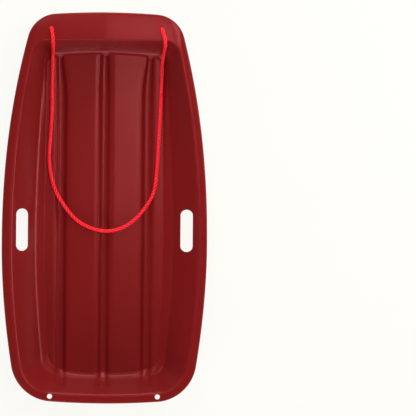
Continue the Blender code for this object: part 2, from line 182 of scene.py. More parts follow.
def by_end(nose: float, tail: float) -> Dict[End, float]:
    """One value for each end of the tub."""
    return {End.NOSE: nose, End.TAIL: tail}


def grid_share(coordinate: float) -> float:
    """Share of the way along a new grid, whose sides run from -1 to 1."""
    return (coordinate + 1.0) / 2.0


def fill(node: Node, **inputs: object) -> None:
    """Fill inputs of a node.

    Args:
        node: The node.
        **inputs: A value for each input, or the output that is linked to it. A name has an
            underscore for each space in the input's own name.
    """
    for name, value in inputs.items():
        socket = node.inputs[name.replace("_", " ")]
        if isinstance(value, Socket):
            node.id_data.links.new(value, socket)
        else:
            socket.default_value = value


def add_node(tree: Tree, kind: str, **inputs: object) -> Node:
    """Add a node and fill its inputs.

    Args:
        tree: Nodes to add to.
        kind: Type of the node, without the words that every type starts with.
        **inputs: What its inputs are filled with.

    Returns:
        The new node.
    """
    node = tree.nodes.new(f"ShaderNode{kind}")
    fill(node, **inputs)
    return node


def joined(tree: Tree, first: Socket, second: Socket, joining: Joining) -> Socket:
    """Two values joined to one.

    Args:
        tree: Nodes to add to.
        first: The first value.
        second: The second value.
        joining: How they are joined.

    Returns:
        The result.
    """
    node = add_node(tree, "Math")
    node.operation = joining.value
    tree.links.new(first, node.inputs[0])
    tree.links.new(second, node.inputs[1])
    return node.outputs[0]


def new_object(name: str, mesh: Shape) -> Piece:
    """Turn a bmesh into an object of the scene.

    Args:
        name: Name of the object.
        mesh: Its shape, which is freed.

    Returns:
        The new object.
    """
    data = bpy.data.meshes.new(name)
    mesh.to_mesh(data)
    mesh.free()
    thing = bpy.data.objects.new(name, data)
    bpy.context.scene.collection.objects.link(thing)
    return thing


def apply_modifiers(thing: Piece) -> None:
    """Replace an object's mesh by what its modifiers make of it.

    Args:
        thing: The object.
    """
    bpy.context.view_layer.update()
    graph = bpy.context.evaluated_depsgraph_get()
    made = bpy.data.meshes.new_from_object(thing.evaluated_get(graph))
    thing.modifiers.clear()
    old = thing.data
    thing.data = made
    bpy.data.meshes.remove(old)
    made.name = thing.name


@dataclass(frozen=True)
class Clouds:
    """Cloudy pattern of a finish: how many clouds to a metre, finer layers and stretch.

    The span is the part of the pattern's range over which it takes effect.
    """

    scale: float
    detail: float = 2.0
    stretch: Triple = (1.0, 1.0, 1.0)
    span: Pair = RISING


@dataclass(frozen=True)
class Relief:
    """Relief of a finish: its height in metres, and how strongly it shows."""

    distance: float
    strength: float


class FinishGraph:
    """Nodes of one finish around its Principled shader."""

    def __init__(self, name: str, coordinate: Coordinate) -> None:
        """Start a material with a shader and one kind of coordinates.

        Args:
            name: Name of the material.
            coordinate: The coordinates that its patterns are laid out in.
        """
        self.material = bpy.data.materials.new(name)
        self.material.use_nodes = True
        self.tree = self.material.node_tree
        self.shader = self.tree.nodes["Principled BSDF"]
        self.space = add_node(self.tree, "TexCoord").outputs[coordinate.value]

    def axis(self, name: str) -> Socket:
        """One axis of the coordinates, by its name."""
        return add_node(self.tree, "SeparateXYZ", Vector=self.space).outputs[name]

    def noise(self, clouds: Clouds) -> Socket:
        """Cloudy pattern from 0 to 1.

        Args:
            clouds: Its scale, layers and stretch.

        Returns:
            The pattern's value.
        """
        mapping = add_node(self.tree, "Mapping", Scale=clouds.stretch, Vector=self.space)
        node = add_node(self.tree, "TexNoise", Scale=clouds.scale, Detail=clouds.detail,
                        Vector=mapping.outputs["Vector"])
        return node.outputs["Fac"]

    def spread(self, value: Socket, source: Pair, target: Pair = RISING) -> Socket:
        """Map a value from one range to another, clamped to its ends.

        Args:
            value: What is mapped.
            source: Range that it comes from.
            target: Range that it goes to.

        Returns:
            The mapped value.
        """
        node = add_node(self.tree, "MapRange", Value=value, From_Min=source[0],
                        From_Max=source[1], To_Min=target[0], To_Max=target[1])
        return node.outputs["Result"]

    def sum_of(self, first: Socket, second: Socket) -> Socket:
        """Sum of two values."""
        return joined(self.tree, first, second, Joining.ADD)

    def product_of(self, first: Socket, second: Socket) -> Socket:
        """Product of two values."""
        return joined(self.tree, first, second, Joining.MULTIPLY)

    def tint(self, share: Socket, first: Colour, second: Colour) -> None:
        """Colour the shader between two colours.

        Args:
            share: 0 for the first colour and 1 for the second.
            first: The first colour.
            second: The second colour.
        """
        node = add_node(self.tree, "Mix", Factor=share)
        node.data_type = "RGBA"
        ends = {"A": first, "B": second}
        for socket in node.inputs:
            if socket.type == "RGBA":
                socket.default_value = (*ends[socket.name], 1.0)
        colour = next(output for output in node.outputs if output.type == "RGBA")
        fill(self.shader, Base_Color=colour)

    def bump(self, height: Socket, relief: Relief, under: Optional[Socket] = None) -> Socket:
        """Relief in the surface.

        Args:
            height: Pattern of the relief.
            relief: Its height and strength.
            under: Relief that this one lies on.

        Returns:
            The relief's normal.
        """
        node = add_node(self.tree, "Bump", Distance=relief.distance, Strength=relief.strength,
                        Height=height)
        if under is not None:
            fill(node, Normal=under)
        return node.outputs["Normal"]


@dataclass(frozen=True)
class GlossyMoulding:
    """Glossy red polyethylene, with a fine grain, slight waves and rubbed running faces."""

    colour: Colour = (0.178, 0.0058, 0.0062)
    deep_colour: Colour = (0.164, 0.0050, 0.0054)
    reflectance: float = 0.22
    reflection: Colour = (1.0, 0.25, 0.25)
    haze: float = 0.055
    haze_colour: Colour = (1.0, 0.50, 0.50)
    haze_roughness: float = 0.5
    gloss: Pair = (0.21, 0.26)
    rubbed_roughness: float = 0.42
    rubbed_heights: Pair = (0.0011, 0.0022)
    blotches: Clouds = Clouds(5.0, 3.0, span=(0.35, 0.65))
    scratches: Clouds = Clouds(38.0, 6.0, (14.0, 0.6, 4.0), (0.35, 0.70))
    smears: Clouds = Clouds(9.0, 4.0, (2.0, 0.7, 1.0), (0.30, 0.70))
    waves: Clouds = Clouds(7.0, 1.0)
    grain: Clouds = Clouds(900.0)
    wave_relief: Relief = Relief(0.0015, 0.06)
    grain_relief: Relief = Relief(0.00012, 0.10)
    scratch_relief: Relief = Relief(0.00025, 0.5)

    def build(self) -> Material:
        """Make the material.

        Returns:
            The finished material.
        """
        graph = FinishGraph("glossy_moulding", Coordinate.OBJECT)
        blotches = graph.spread(graph.noise(self.blotches), self.blotches.span)
        graph.tint(blotches, self.colour, self.deep_colour)
        low = graph.spread(graph.axis("Z"), self.rubbed_heights, FALLING)
        scuffs = graph.spread(graph.noise(self.scratches), self.scratches.span)
        rubbed = graph.product_of(low, scuffs)
        smears = graph.spread(graph.noise(self.smears), self.smears.span, self.gloss)
        extra = graph.spread(rubbed, RISING, (0.0, self.rubbed_roughness - self.gloss[0]))
        waves = graph.bump(graph.noise(self.waves), self.wave_relief)
        grain = graph.bump(graph.noise(self.grain), self.grain_relief, waves)
        fill(graph.shader, Specular_IOR_Level=self.reflectance,
             Specular_Tint=(*self.reflection, 1.0), Sheen_Weight=self.haze,
             Sheen_Roughness=self.haze_roughness, Sheen_Tint=(*self.haze_colour, 1.0),
             Roughness=graph.sum_of(smears, extra),
             Normal=graph.bump(rubbed, self.scratch_relief, grain))
        return graph.material


@dataclass(frozen=True)
class LaidFibre:
    """Bright red polypropylene filaments, which run along the strand.

    The UV map is in metres: U runs round the strand, with the side that faces out of the rope
    in the middle, and V runs along it. That side is painted pale as a highlight, and the grooves
    between the strands are painted darker as shade.
    """

    girth: float
    # Painted highlight colour on each strand's crest, then painted shade colour in the grooves
    # between strands
    colour: Colour = (1.000, 0.1050, 0.1450)
    painted_groove_shade: Colour = (0.920, 0.0002, 0.0110)
    reflectance: float = 0.55
    reflection: Colour = (1.0, 0.45, 0.50)
    filaments: Clouds = Clouds(2600.0, 2.0, (1.0, 0.05, 1.0))
    bundles: Clouds = Clouds(700.0, 1.0, (1.0, 0.08, 1.0))
    fibre_span: Pair = (0.75, 1.25)
    fibre_shade: Pair = (0.70, 1.0)
    relief: Relief = Relief(0.00035, 0.35)
    gloss: Pair = (0.80, 0.17)
    gloss_span: Pair = (0.0, 0.8)
    lit_share: Pair = (0.42, 0.50)

    def build(self) -> Material:
        """Make the material.

        Returns:
            The finished material.
        """
        graph = FinishGraph("laid_fibre", Coordinate.UV)
        fibres = graph.sum_of(graph.noise(self.filaments), graph.noise(self.bundles))
        place = graph.axis("X")
        hidden, lit = (share * self.girth for share in self.lit_share)
        rising = graph.spread(place, (hidden, lit))
        falling = graph.spread(place, (self.girth - lit, self.girth - hidden), FALLING)
        # Each strand's crest, where a highlight is painted; it also sets the gloss
        painted_highlight_crest = graph.product_of(rising, falling)
        # Painted shade in the grooves and painted highlight on the crests, broken up by the
        # filaments
        painted_shade_and_highlight = graph.product_of(painted_highlight_crest, graph.spread(fibres, self.fibre_span, self.fibre_shade))
        graph.tint(painted_shade_and_highlight, self.painted_groove_shade, self.colour)
        fill(graph.shader, Specular_IOR_Level=self.reflectance,
             Specular_Tint=(*self.reflection, 1.0),
             Roughness=graph.spread(painted_highlight_crest, self.gloss_span, self.gloss),
             Normal=graph.bump(fibres, self.relief))
        return graph.material


@dataclass(frozen=True)
class FusedTip:
    """Rope end that was melted with a flame: the same red, darker and smooth."""

    colour: Colour = (0.330, 0.0030, 0.0060)
    scorched_colour: Colour = (0.120, 0.0040, 0.0040)
    roughness: float = 0.28
    reflectance: float = 0.5
    lumps: Clouds = Clouds(420.0, 3.0, span=(0.40, 0.65))
    relief: Relief = Relief(0.0006, 0.5)

    def build(self) -> Material:
        """Make the material.

        Returns:
            The finished material.
        """
        graph = FinishGraph("fused_tip", Coordinate.OBJECT)
        lumps = graph.noise(self.lumps)
        graph.tint(graph.spread(lumps, self.lumps.span), self.colour, self.scorched_colour)
        fill(graph.shader, Roughness=self.roughness, Specular_IOR_Level=self.reflectance,
             Normal=graph.bump(lumps, self.relief))
        return graph.material


@dataclass(frozen=True)
class Outline:
    """Plan of the tub at one of its levels: two barrel sides between two bowed ends."""

    widths: Triple
    ends: Pair
    tapers: Pair
    widest_y: float
    inset: float
    end_ys: Dict[End, float]
    bends: Dict[End, float]
    corners: Dict[End, float]

    def half_width(self, y: float) -> float:
        """Half-width at a place along the tub.

        Args:
            y: The place along the tub.

        Returns:
            Distance from the middle line to the side.
        """
        width = towards_ends(y, self.widest_y, self.ends, self.widths, self.tapers)
        return width / 2 - self.inset


@dataclass
class RunnerSet:
    """Three runners that are pressed into the deck."""

    spacing: float = 0.1010
    width: float = 0.0310
    flat: float = 0.0080
    depth: float = 0.0080
    taper_length: float = 0.1100
    middle_nose_width: float = 0.0250
    side_nose_width: float = 0.0200
    flank_steps: int = 7
    panel_steps: int = 7

    def half_width(self, runner: int, y: float, nose_y: float) -> float:
        """Half-width of a runner, which narrows towards the nose.

        Args:
            runner: -1, 0 or 1, from left to right.
            y: The place along the tub.
            nose_y: Where the floor ends at the nose.

        Returns:
            Half of the runner's width there.
        """
        narrow = self.side_nose_width if runner else self.middle_nose_width
        share = ease((y - nose_y + self.taper_length) / self.taper_length)
        return mix(self.width, narrow, share) / 2

    def middle_x(self, runner: int, y: float, nose_y: float) -> float:
        """Middle line of a runner, whose outer edge stays straight where it narrows."""
        half = self.half_width(runner, y, nose_y)
        return runner * (self.spacing + self.width / 2 - half)

    def places(self) -> List[float]:
        """Places across a runner.

        Returns:
            The places, from -1 at its left edge to 1 at its right edge.
        """
        flat = self.flat / self.width
        right = [mix(flat, 1.0, step / self.flank_steps) for step in range(self.flank_steps + 1)]
        return [-place for place in reversed(right)] + [0.0] + right

    def column_depths(self, crown: float) -> List[float]:
        """How deep each column of the deck is pressed, so that the runners end level.

        Args:
            crown: How much the middle of the deck stands over its sides.

        Returns:
            A depth for each column, from left to right.
        """
        flat = self.flat / self.width
        shares = [1.0 - ease((abs(place) - flat) / (1.0 - flat)) for place in self.places()]
        outer = [self.depth * share for share in shares]
        middle = [(self.depth + crown) * share for share in shares]
        panel = [0.0] * (self.panel_steps - 1)
        return [0.0] + outer + panel + middle + panel + outer + [0.0]

    def column_xs(self, y: float, nose_y: float, deck_half: float) -> List[float]:
        """X of each column of the deck at a place along the tub.

        Args:
            y: The place along the tub.
            nose_y: Where the floor ends at the nose.
            deck_half: Half-width of the deck.

        Returns:
            The columns' places, from left to right.
        """
        columns = [-deck_half]
        for runner in (-1, 0, 1):
            half = self.half_width(runner, y, nose_y)
            middle = self.middle_x(runner, y, nose_y)
            if runner > -1:
                start = columns[-1]
                gap = middle - half - start
                steps = range(1, self.panel_steps)
                columns += [start + gap * step / self.panel_steps for step in steps]
            columns += [middle + half * place for place in self.places()]
        return columns + [deck_half]


@dataclass
class SledShell:
    """The moulded tub: deck, runners, walls, rolled rim, nose lip, hand slots and holes."""

    low: Vector
    high: Vector
    nose_width: float = 0.3330
    tail_width: float = 0.4010
    widest_y: float = -0.0880
    nose_taper: float = 2.20
    tail_taper: float = 1.87
    nose_corner: float = 0.0710
    tail_corner: float = 0.0990
    nose_bow: float = 1.700
    tail_bow: float = 1.800
    rim_width: float = 0.0200
    lip_depth: float = 0.0655
    lip_corner: float = 0.0330
    crest_tail_corner: float = 0.0800
    skirt_depth: float = 0.0150
    rim_fall: float = 0.0080
    lip_fall: float = 0.0020
    lip_crown: float = 0.0030
    lip_crown_power: int = 4
    roll_radius: float = 0.0060
    crest_radius: float = 0.0100
    lip_crest_radius: float = 0.0040
    mid_height: float = 0.0900
    nose_height: float = 0.1080
    tail_height: float = 0.0980
    sheer_power: float = 2.0
    wall: float = 0.0025
    floor_widths: Triple = (0.2820, 0.2720, 0.2500)
    floor_taper: float = 2.0
    nose_wall_run: float = 0.0255
    tail_wall_run: float = 0.0430
    floor_nose_corner: float = 0.0220
    floor_tail_corner: float = 0.0420
    floor_nose_bow: float = 0.820
    floor_tail_bow: float = 0.730
    flare: Triple = (0.0200, 0.0085, 0.0350)
    end_flare: Triple = (0.0080, 0.0100, 0.0200)
    floor_radius: float = 0.0110
    fillet_limit: float = 0.45
    deck_crown: float = 0.0015
    deck_side_margin: float = 0.0040
    deck_nose_margin: float = 0.0440
    deck_tail_margin: float = 0.0210
    runner_ramp: float = 0.0090
    wall_share: Dict[End, float] = field(default_factory=lambda: by_end(0.0, 0.40))
    tail_fade: Pair = (0.44, 0.60)
    slot_length: float = 0.0990
    slot_width: float = 0.0275
    slot_x: float = 0.1930
    slot_y: float = -0.0520
    hole_diameter: float = 0.0120
    rope_hole: Pair = (0.1290, 0.4187)
    rear_hole_x: float = 0.1260
    rear_hole_inset: float = 0.0165
    arc_steps: Tuple[int, ...] = (5, 6, 5, 5)
    leg_steps: Tuple[int, ...] = (2, 2, 9, 1)
    foot_places: Tuple[float, ...] = (0.0015, 0.0030, 0.0045, 0.0060, 0.0075, 0.0090, 0.0120,
                                      0.0160)
    deck_rows: int = 44
    corner_pull: float = 0.030
    end_points: int = 24
    corner_points: int = 60
    side_points: int = 60
    tangent_rounds: int = 30
    tangent_nudge: float = 0.0005
    slot_rounding: float = 0.49
    slot_steps: int = 14
    hole_sides: int = 40
    edge_break: float = 0.0005
    edge_steps: int = 2
    sharp_degrees: float = 42.0
    runners: RunnerSet = field(default_factory=RunnerSet)

    def __post_init__(self) -> None:
        """Work out what follows from the sizes."""
        self.width = self.high.x - self.low.x
        self.nose_y = self.high.y
        self.tail_y = self.low.y
        self.floor_z = self.runners.depth + self.wall
        self.floor_nose_y = self.nose_y - self.lip_depth - self.nose_wall_run
        self.floor_tail_y = self.tail_y + self.rim_width + self.tail_wall_run
        self.deck_half = self.runners.spacing + self.runners.width / 2 + self.deck_side_margin
        self.deck_nose_y = self.floor_nose_y - self.floor_nose_corner - self.deck_nose_margin
        self.deck_tail_y = self.floor_tail_y + self.floor_tail_corner + self.deck_tail_margin
        self.outlines = self.plan()
        side_run = (self.width - self.floor_widths[0]) / 2 - self.rim_width
        self.end_runs = by_end(self.floor_nose_y - self.deck_nose_y,
                               self.deck_tail_y - self.floor_tail_y)
        self.side_section = self.section(self.rim_width, side_run,
                                         self.floor_widths[0] / 2 - self.deck_half, self.rim_fall,
                                         self.flare, self.crest_radius, self.mid_height)
        self.end_sections = {
            End.NOSE: self.section(self.lip_depth, self.nose_wall_run, self.end_runs[End.NOSE],
                                   self.lip_fall, self.end_flare, self.lip_crest_radius,
                                   self.nose_height),
            End.TAIL: self.section(self.rim_width, self.tail_wall_run, self.end_runs[End.TAIL],
                                   self.rim_fall, self.end_flare, self.crest_radius,
                                   self.tail_height),
        }
        self.rings = len(self.side_section) - 1

    def plan(self) -> List[Outline]:
        """The four outlines that the moulding runs through, from the outside in.

        Returns:
            The edge, the crest of the rim, the foot of the walls and the deck.
        """
        edge = (self.width, self.nose_width, self.tail_width)
        ends = (self.nose_y, self.tail_y)
        tapers = (self.nose_taper, self.tail_taper)
        floor_ends = (self.floor_nose_y, self.floor_tail_y)
        straight = by_end(0.0, 0.0)
        return [
            Outline(edge, ends, tapers, self.widest_y, 0.0, by_end(*ends),
                    by_end(1.0 / self.nose_bow, 1.0 / self.tail_bow),
                    by_end(self.nose_corner, self.tail_corner)),
            Outline(edge, ends, tapers, self.widest_y, self.rim_width,
                    by_end(self.nose_y - self.lip_depth, self.tail_y + self.rim_width),
                    by_end(0.0, 1.0 / self.tail_bow),
                    by_end(self.lip_corner, self.crest_tail_corner)),
            Outline(self.floor_widths, floor_ends, (self.floor_taper, self.floor_taper),
                    self.widest_y, 0.0, by_end(*floor_ends),
                    by_end(1.0 / self.floor_nose_bow, 1.0 / self.floor_tail_bow),
                    by_end(self.floor_nose_corner, self.floor_tail_corner)),
            Outline((2.0 * self.deck_half,) * 3, ends, (1.0, 1.0), self.widest_y, 0.0,
                    by_end(self.deck_nose_y, self.deck_tail_y), straight, straight),
        ]

    def crest_height(self, y: float) -> float:
        """Height of the rim, which rises from the widest place to both ends.

        Args:
            y: The place along the tub.

        Returns:
            Height over the snow.
        """
        heights = (self.mid_height, self.nose_height, self.tail_height)
        return towards_ends(y, self.widest_y, (self.nose_y, self.tail_y), heights,
                            (self.sheer_power, self.sheer_power))

    def crown_at(self, x: float) -> float:
        """How much the middle crease of the nose lip stands over its sides."""
        return self.lip_crown * max(0.0, 1.0 - 2.0 * abs(x) / self.nose_width)

    def deck_rise(self, x: float) -> float:
        """How much the deck stands over the floor, as it climbs from each side runner.

        Args:
            x: Place across the tub.

        Returns:
            Height over the floor.
        """
        foot = self.runners.spacing - self.runners.width / 2
        slope = (foot - abs(x)) / (foot - self.runners.width / 2)
        return self.deck_crown * min(max(slope, 0.0), 1.0)

    def rounded(self, points: Sequence[Pair], radii: Sequence[float]) -> List[Vector]:
        """Open outline with round inner corners, divided along its arcs and legs.

        Args:
            points: Corners of the outline.
            radii: Radius at each inner corner.

        Returns:
            The divided outline.
        """
        arcs = [[Vector(points[0])]]
        for index, (radius, count) in enumerate(zip(radii, self.arc_steps), start=1):
            before, corner, after = (Vector(point) for point in points[index - 1:index + 2])
            back = before - corner
            ahead = after - corner
            turn = math.pi - back.angle(ahead)
            room = self.fillet_limit * min(back.length, ahead.length)
            reach = min(radius * math.tan(turn / 2), room)
            start = corner + back.normalized() * reach
            end = corner + ahead.normalized() * reach
            shares = [step / count for step in range(count + 1)]
            arcs.append([start.lerp(corner, s).lerp(corner.lerp(end, s), s) for s in shares])
        path: List[Vector] = []
        for arc, following, count in zip(arcs, arcs[1:], self.leg_steps):
            path += arc
            path += [arc[-1].lerp(following[0], step / count) for step in range(1, count)]
        start, end = arcs[-1][-1], Vector(points[-1])
        run = (end - start).length
        rows = [start.lerp(end, place / run) for place in self.foot_places]
        return path + arcs[-1] + rows + [end]

    def section(self, rim: float, wall_run: float, deck_run: float, fall: float,
                flare: Triple, crest_radius: float, top: float) -> List[Pair]:
        """Cross-section of the moulding, from its skirt to its deck.

        Args:
            rim: Width of the rim.
            wall_run: Level distance that the wall covers.
            deck_run: Level distance from the wall's foot to the deck.
            fall: How much the rim falls from its crest to its edge.
            flare: Width, rise and radius of the flare at the wall's foot.
            crest_radius: Radius of the crest.
            top: Height of the crest.

        Returns:
            Pairs of a place between the outlines, 0 to 3, and a rise, 0 at the floor and 1
            at the crest.
        """
        height = top - self.floor_z
        flare_width, flare_rise, flare_radius = flare
        foot = rim + wall_run
        points = [
            (0.0, height - self.skirt_depth),
            (0.0, height - fall),
            (rim, height),
            (foot - flare_width, flare_rise),
            (foot, 0.0),
            (foot + deck_run, 0.0),
        ]
        radii = (self.roll_radius, crest_radius, flare_radius, self.floor_radius)
        stations = (0.0, rim, foot, foot + deck_run)
        path = self.rounded(points, radii)
        return [(float(np.interp(p.x, stations, range(4))), p.y / height) for p in path]

    def between(self, read: Callable[[Outline], float], place: float) -> float:
        """One value of the outline at a place between two of the four.

        Args:
            read: Takes the value from an outline.
            place: 0 at the edge, 1 at the crest, 2 at the wall's foot and 3 at the deck.

        Returns:
            The value there.
        """
        outer = min(int(place), len(self.outlines) - 2)
        values = [read(outline) for outline in self.outlines[outer:outer + 2]]
        return mix(values[0], values[1], place - outer)

    def half_width_at(self, place: float, y: float) -> float:
        """Half-width of the outline at a place between two of the four."""
        return self.between(lambda outline: outline.half_width(y), place)

    def quarter(self, ring: int, end: End) -> np.ndarray:
        """Right half of one end of a ring: a shallow arc, a round corner and the barrel side.

        Args:
            ring: The ring, counted from the skirt.
            end: The end of the tub.

        Returns:
            Points from the middle of the end to the widest place.
        """
        side_place = self.side_section[ring][0]
        end_place = self.end_sections[end][ring][0]
        radius = self.between(lambda outline: outline.corners[end], (side_place + end_place) / 2)
        end_y = self.between(lambda outline: outline.end_ys[end], end_place)
        bend = self.between(lambda outline: outline.bends[end], end_place)
        sense = end.value
        nudge = sense * self.tangent_nudge
        side_y = end_y - sense * radius
        end_x = self.half_width_at(side_place, end_y) - radius
        for _ in range(self.tangent_rounds):
            behind = self.half_width_at(side_place, side_y - nudge)
            spread = behind - self.half_width_at(side_place, side_y + nudge)
            inward_side = Vector((-2.0 * self.tangent_nudge, -spread)).normalized()
            inward_end = Vector((-bend * end_x, -1.0)).normalized()
            centre_x = self.half_width_at(side_place, side_y) + radius * inward_side.x
            centre_y = end_y - sense * bend * end_x ** 2 / 2 + sense * radius * inward_end.y
            side_y = centre_y - sense * radius * inward_side.y
            end_x = centre_x - radius * inward_end.x
        end_xs = np.linspace(0.0, end_x, self.end_points)
        points = [(x, end_y - sense * bend * x * x / 2) for x in end_xs]
        first = math.atan2(-inward_end.y, -inward_end.x)
        last = math.atan2(-inward_side.y, -inward_side.x)
        for angle in np.linspace(first, last, self.corner_points)[1:-1]:
            points.append((centre_x + radius * math.cos(angle),
                           centre_y + sense * radius * math.sin(angle)))
        side_ys = np.linspace(side_y, self.widest_y, self.side_points)
        points += [(self.half_width_at(side_place, y), y) for y in side_ys]
        return np.array(points)

    def corner_point(self, points: np.ndarray, share: float) -> Pair:
        """Point round a corner, from the deck's last column to its last row.

        Args:
            points: The ring's quarter. Bends draw the points together.
            share: How far round the corner, from 0 to 1.

        Returns:
            X and Y of the point.
        """
        steps = np.diff(points, axis=0)
        headings = np.unwrap(np.arctan2(steps[:, 1], steps[:, 0]))
        turns = np.abs(np.diff(headings, prepend=headings[0]))
        lengths = np.hypot(*steps.T) + self.corner_pull * turns
        travel = np.concatenate(([0.0], np.cumsum(lengths)))
        sense = 1.0 if points[0][1] > 0.0 else -1.0
        deck_y = self.deck_nose_y if sense > 0.0 else self.deck_tail_y
        start = np.interp(self.deck_half, points[:, 0], travel)
        end = np.interp(-sense * deck_y, -sense * points[:, 1], travel)
        place = mix(start, end, share)
        x = float(np.interp(place, travel, points[:, 0]))
        return x, float(np.interp(place, travel, points[:, 1]))

    def runner_share(self, end: End, end_place: float, rise: float) -> float:
        """Share of a runner's depth that is left near an end wall.

        Args:
            end: The end of the tub.
            end_place: 1 at the crest, 2 at the wall's foot and 3 at the deck.
            rise: 0 at the floor and 1 at the crest.

        Returns:
            1 on the deck, falling over a ramp to what goes on up the wall.
        """
        on_wall = self.wall_share[end]
        if end_place > FOOT:
            from_foot = (end_place - FOOT) * self.end_runs[end]
            return mix(on_wall, 1.0, ease(from_foot / self.runner_ramp))
        start, stop = self.tail_fade
        return on_wall * (1.0 - ease((rise - start) / (stop - start)))

    def upper_face(self) -> Shape:
        """Upper face of the moulding, from a grid whose rings follow the cross-section.

        Returns:
            The open face, with the runners pressed into it.
        """
        depths = self.runners.column_depths(self.deck_crown)
        columns = len(depths) - 1 + 2 * self.rings
        rows = self.deck_rows + 2 * self.rings
        quarters = {(ring, end): self.quarter(ring, end)
                    for ring in range(self.rings) for end in End}
        mesh = bmesh.new()
        bmesh.ops.create_grid(mesh, x_segments=columns, y_segments=rows, size=1.0)
        pressed: List[Tuple[bmesh.types.BMVert, float]] = []
        for vertex in mesh.verts:
            column = round(grid_share(vertex.co.x) * columns)
            row = round(grid_share(vertex.co.y) * rows)
            across = min(column, columns - column)
            along = min(row, rows - row)
            ring = min(across, along)
            end = End.NOSE if row > rows / 2 else End.TAIL
            deck_y = mix(self.deck_tail_y, self.deck_nose_y, (row - self.rings) / self.deck_rows)
            if ring >= self.rings:
                xs = self.runners.column_xs(deck_y, self.floor_nose_y, self.deck_half)
                x = xs[column - self.rings]
                vertex.co = (x, deck_y, self.floor_z + self.deck_rise(x))
                pressed.append((vertex, depths[column - self.rings]))
                continue
            points = quarters[ring, end]
            depth = 0.0
            share = 0.0
            if across >= self.rings:
                xs = self.runners.column_xs(points[0][1], self.floor_nose_y, self.deck_half)
                x = xs[column - self.rings]
                y = float(np.interp(abs(x), points[:, 0], points[:, 1]))
                depth = depths[column - self.rings]
            else:
                if along >= self.rings:
                    x, y = self.half_width_at(self.side_section[ring][0], deck_y), deck_y
                    share = 1.0
                else:
                    steps = 2.0 * (self.rings - ring)
                    from_end = (self.rings - across) / steps
                    share = from_end if along == ring else 1.0 - (self.rings - along) / steps
                    x, y = self.corner_point(points, share)
                x = x if column > columns / 2 else -x
            end_place, end_rise = self.end_sections[end][ring]
            rise = mix(end_rise, self.side_section[ring][1], ease(share))
            z = mix(self.floor_z + self.deck_rise(x), self.crest_height(y), rise)
            if end is End.NOSE:
                fullness = max(rise, 0.0) ** self.lip_crown_power * (1.0 - ease(share))
                z += self.crown_at(x) * fullness
            vertex.co = (x, y, z)
            if depth and end_place > CREST:
                pressed.append((vertex, depth * self.runner_share(end, end_place, rise)))
        mesh.normal_update()
        for vertex, move in [(vertex, vertex.normal * depth) for vertex, depth in pressed]:
            vertex.co -= move
        return mesh

    def slot_cutter(self, side: Side) -> Piece:
        """Upright block with round ends, for one hand slot.

        Args:
            side: Side of the tub.

        Returns:
            The cutter.
        """
        mesh = bmesh.new()
        bmesh.ops.create_cube(mesh, size=1.0)
        size = (self.slot_width, self.slot_length, 2.0 * self.nose_height)
        bmesh.ops.scale(mesh, vec=size, verts=mesh.verts)
        upright = [edge for edge in mesh.edges if edge.verts[0].co.z * edge.verts[1].co.z < 0.0]
        bmesh.ops.bevel(mesh, geom=upright, offset=self.slot_rounding * self.slot_width,
                        segments=self.slot_steps, profile=0.5, affect="EDGES", material=-1)
        bmesh.ops.translate(mesh, vec=(side.value * self.slot_x, self.slot_y, 0.0),
                            verts=mesh.verts)
        return new_object("slot_cutter", mesh)

    def hole_cutter(self, x: float, y: float) -> Piece:
        """Upright pin for one round hole in the rim.

        Args:
            x: Place across the tub.
            y: Place along the tub.

        Returns:
            The cutter.
        """
        mesh = bmesh.new()
        radius = self.hole_diameter / 2
        bmesh.ops.create_cone(mesh, cap_ends=True, segments=self.hole_sides, radius1=radius,
                              radius2=radius, depth=self.nose_height)
        bmesh.ops.translate(mesh, vec=(x, y, self.nose_height), verts=mesh.verts)
        return new_object("hole_cutter", mesh)

    def build(self) -> Piece:
        """Make the tub, with its wall, slots and holes.

        Returns:
            The finished piece.
        """
        sharp = math.radians(self.sharp_degrees)
        shell = new_object("moulded_tub", self.upper_face())
        wall = shell.modifiers.new("wall", "SOLIDIFY")
        wall.thickness = self.wall
        wall.offset = -1.0
        wall.use_even_offset = True
        wall.use_quality_normals = True
        soften = shell.modifiers.new("edge", "BEVEL")
        soften.width = self.edge_break
        soften.segments = self.edge_steps
        soften.limit_method = "ANGLE"
        soften.angle_limit = sharp
        tools = [self.slot_cutter(side) for side in Side]
        rear_hole = (self.rear_hole_x, self.tail_y + self.rear_hole_inset)
        tools += [self.hole_cutter(side.value * x, y)
                  for side in Side for x, y in (self.rope_hole, rear_hole)]
        for tool in tools:
            cut = shell.modifiers.new("cut", "BOOLEAN")
            cut.operation = "DIFFERENCE"
            cut.solver = "EXACT"
            cut.object = tool
        apply_modifiers(shell)
        for tool in tools:
            bpy.data.objects.remove(tool, do_unlink=True)
        shell.data.shade_smooth()
        shell.data.set_sharp_from_angle(angle=sharp)
        return shell

    def dress(self, piece: Piece, finish: Material) -> None:
        """Give the tub its finish and its place in the frame.

        Args:
            piece: The tub.
            finish: Its material.
        """
        piece.data.materials.append(finish)
        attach(piece, BODY)
        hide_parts("sled_shell")


